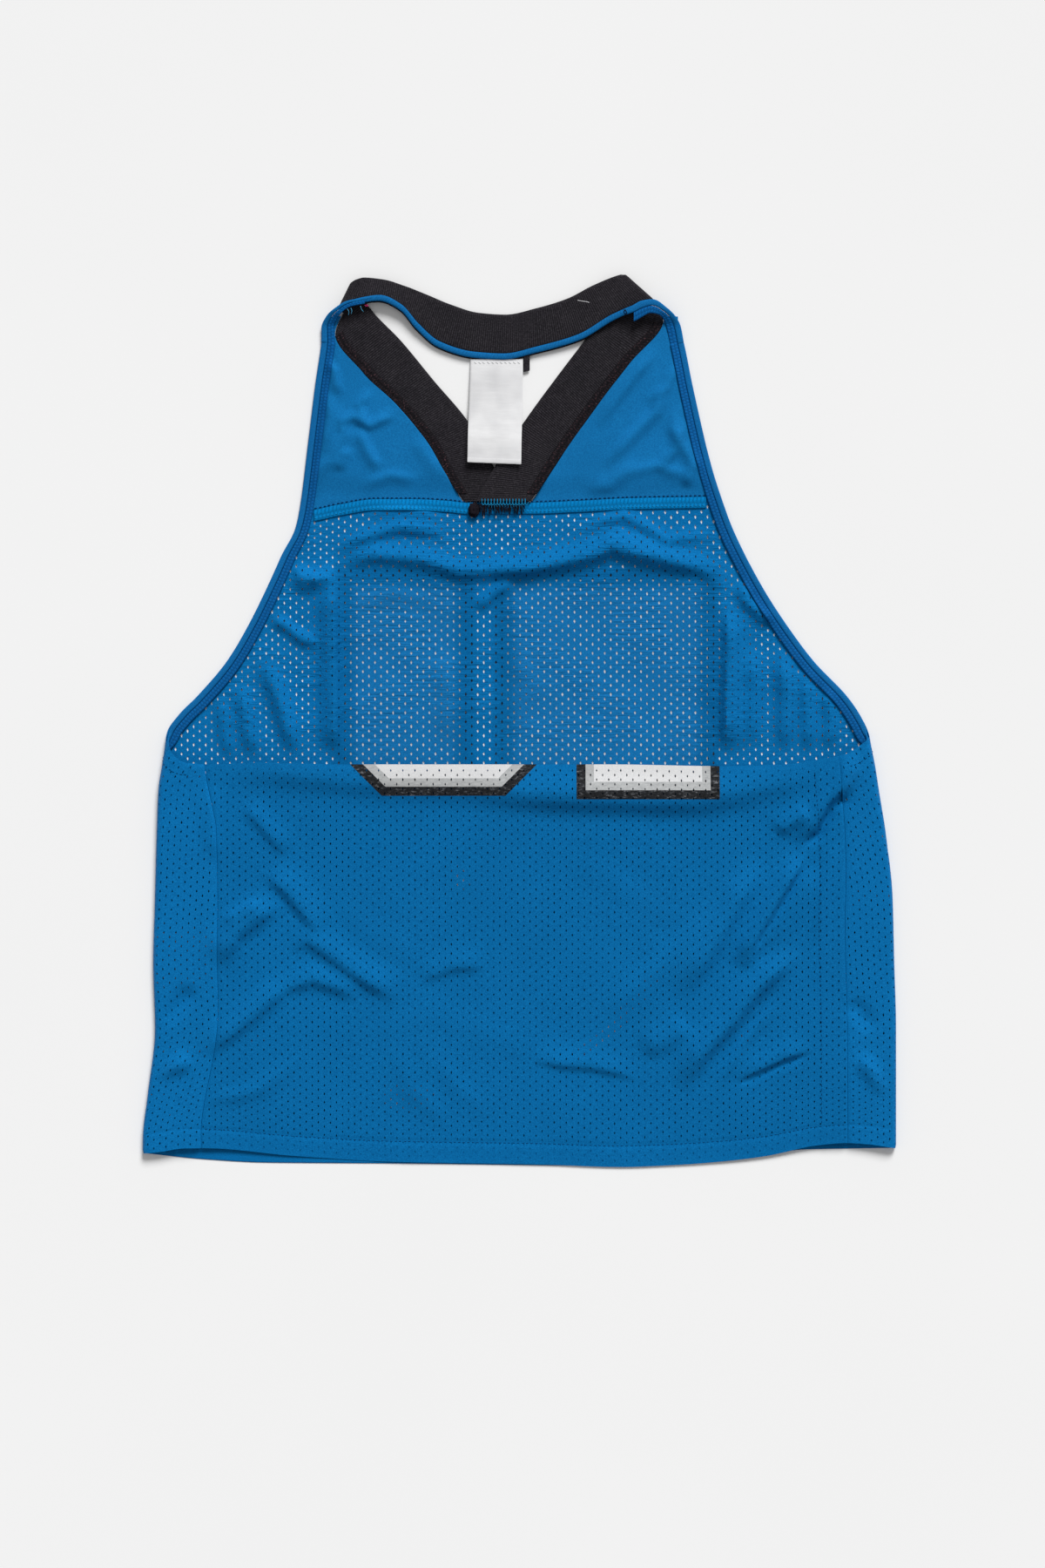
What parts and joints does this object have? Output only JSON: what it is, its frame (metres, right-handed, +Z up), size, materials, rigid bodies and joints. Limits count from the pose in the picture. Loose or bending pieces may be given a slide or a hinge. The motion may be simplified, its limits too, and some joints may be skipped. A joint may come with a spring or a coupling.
{
  "type": "halter top",
  "caption": "Low-backed halter top cut down from a blue mesh football jersey, with a black rib V neckband, laid flat face down.",
  "frame": {"origin": "centre of the outline on the surface that the garment lies on", "axes": "+Z up from the surface, +Y towards the neck, +X to the right as seen from above with the garment face down"},
  "size_m": [0.432, 0.5128, 0.0116],
  "materials": {
    "blue_mesh": "perforated polyester mesh knit, slight sheen",
    "blue_knit": "smooth polyester knit",
    "blue_binding": "overlocked knit binding",
    "black_rib": "matt doubled rib",
    "white_satin": "woven satin label"
  },
  "bodies": {
    "root": {"front_panel": "blue_mesh", "back_panel": "blue_mesh", "yoke_left": "blue_knit", "yoke_right": "blue_knit", "yoke_seam": "blue_knit", "collar_left": "black_rib", "collar_right": "black_rib", "collar_back": "black_rib", "binding_neck": "blue_binding", "binding_armhole_left": "blue_binding", "binding_armhole_right": "blue_binding", "care_label": "white_satin"}
  },
  "joints": []
}
